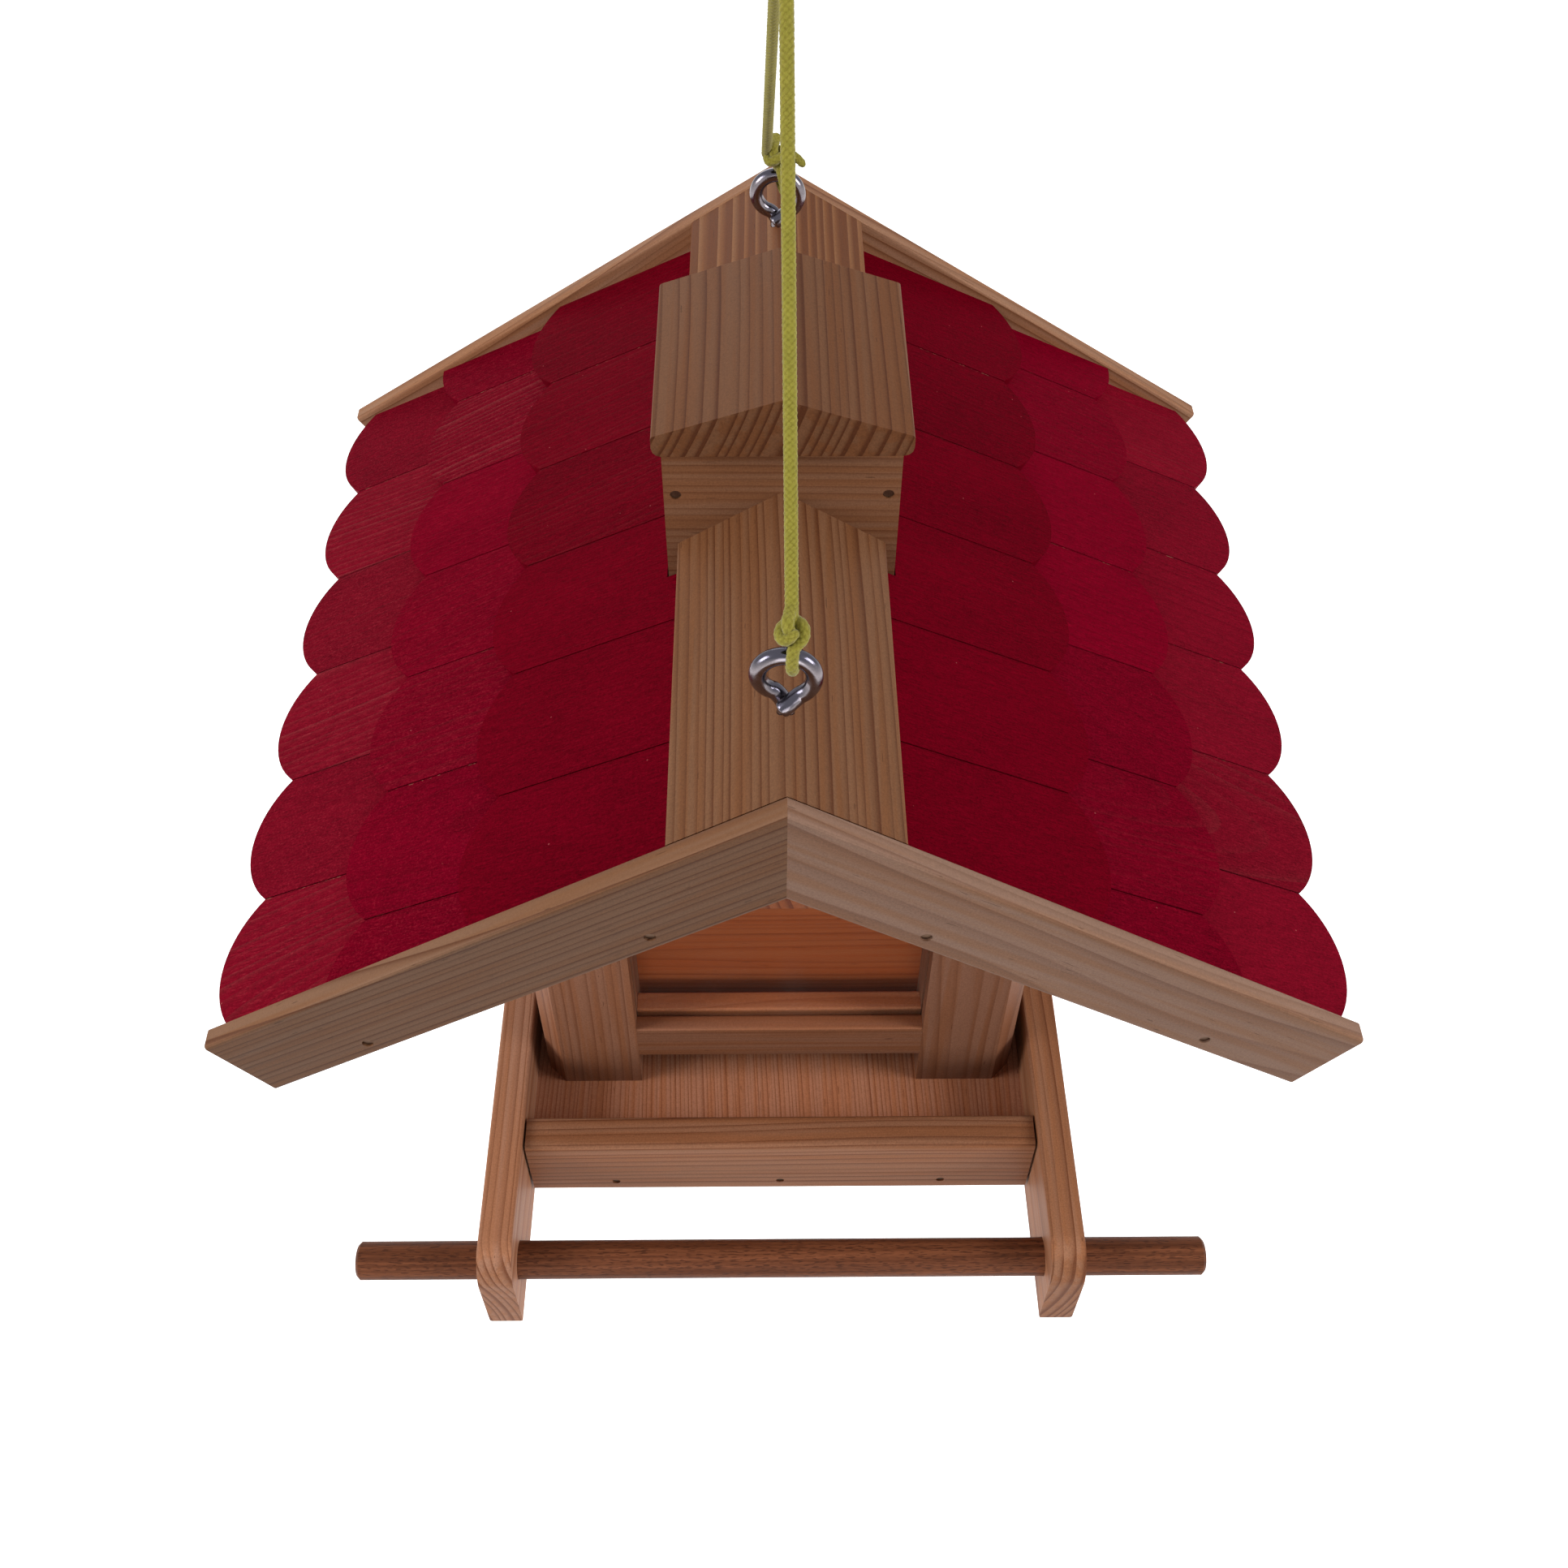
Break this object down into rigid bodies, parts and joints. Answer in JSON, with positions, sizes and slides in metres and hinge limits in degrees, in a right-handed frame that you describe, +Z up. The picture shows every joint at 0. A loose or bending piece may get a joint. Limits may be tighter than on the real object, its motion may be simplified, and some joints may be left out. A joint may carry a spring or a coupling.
{
  "type": "bird feeder",
  "caption": "Hanging wooden bird feeder: shingled saddle roof with a chimney that lifts open for seed, clear-paned silo, open trays and dowel perches, hung on a cord from eye screws.",
  "frame": {"origin": "seat of the cord's hanging loop, where a hook or a branch bears", "axes": "+Z up along the cord's fall, +Y along the ridge towards the back, +X to the right side seen from the front"},
  "size_m": [0.2364, 0.206, 0.3798],
  "materials": {
    "spruce": "planed and bare, with ring grain",
    "pale_spruce": "planed and bare, paler",
    "red_stain": "deep red stain that lets the grain through",
    "beech": "turned dowel with short dark flecks",
    "zinc_wire": "bright zinc plate",
    "nail_steel": "dull steel with a brown film",
    "clear_pane": "clear acrylic",
    "braid": "tight lime braid"
  },
  "bodies": {
    "feeder": {"floor_board": "spruce", "side_rail_left": "spruce", "side_rail_right": "spruce", "rim_front": "spruce", "rim_back": "spruce", "side_block_left": "spruce", "side_block_right": "spruce", "crossbar_front": "spruce", "crossbar_back": "spruce", "inner_bar_front": "spruce", "inner_bar_back": "spruce", "chute_board_front": "spruce", "chute_board_back": "spruce", "ridge_beam_front": "spruce", "ridge_beam_back": "spruce", "roof_board_left": "spruce", "roof_board_right": "spruce", "eave_strip_left": "spruce", "eave_strip_right": "spruce", "chimney_front": "spruce", "chimney_back": "spruce", "chimney_left": "spruce", "chimney_right": "spruce", "bargeboard_front_left": "pale_spruce", "bargeboard_front_right": "pale_spruce", "bargeboard_back_left": "pale_spruce", "bargeboard_back_right": "pale_spruce", "ridge_cap_front": "pale_spruce", "ridge_cap_back": "pale_spruce", "shingles_left_eave": "red_stain", "shingles_left_middle": "red_stain", "shingles_left_top": "red_stain", "shingles_right_eave": "red_stain", "shingles_right_middle": "red_stain", "shingles_right_top": "red_stain", "perch_front": "beech", "perch_back": "beech", "eye_screw_front": "zinc_wire", "eye_screw_back": "zinc_wire", "rim_nails": "nail_steel", "gable_nails": "nail_steel", "chimney_nails": "nail_steel", "rail_nails": "nail_steel", "floor_nails": "nail_steel", "pane_front": "clear_pane", "pane_back": "clear_pane", "cord": "braid", "knot_front": "braid", "knot_back": "braid", "knot_top": "braid"},
    "lid": {"lid": "spruce", "lid_plug": "spruce"}
  },
  "joints": [
    {"name": "lid_lift", "type": "slide", "parent": "feeder", "child": "lid", "axis": [0, 0, 1], "range_m": [0, 0.035]}
  ]
}
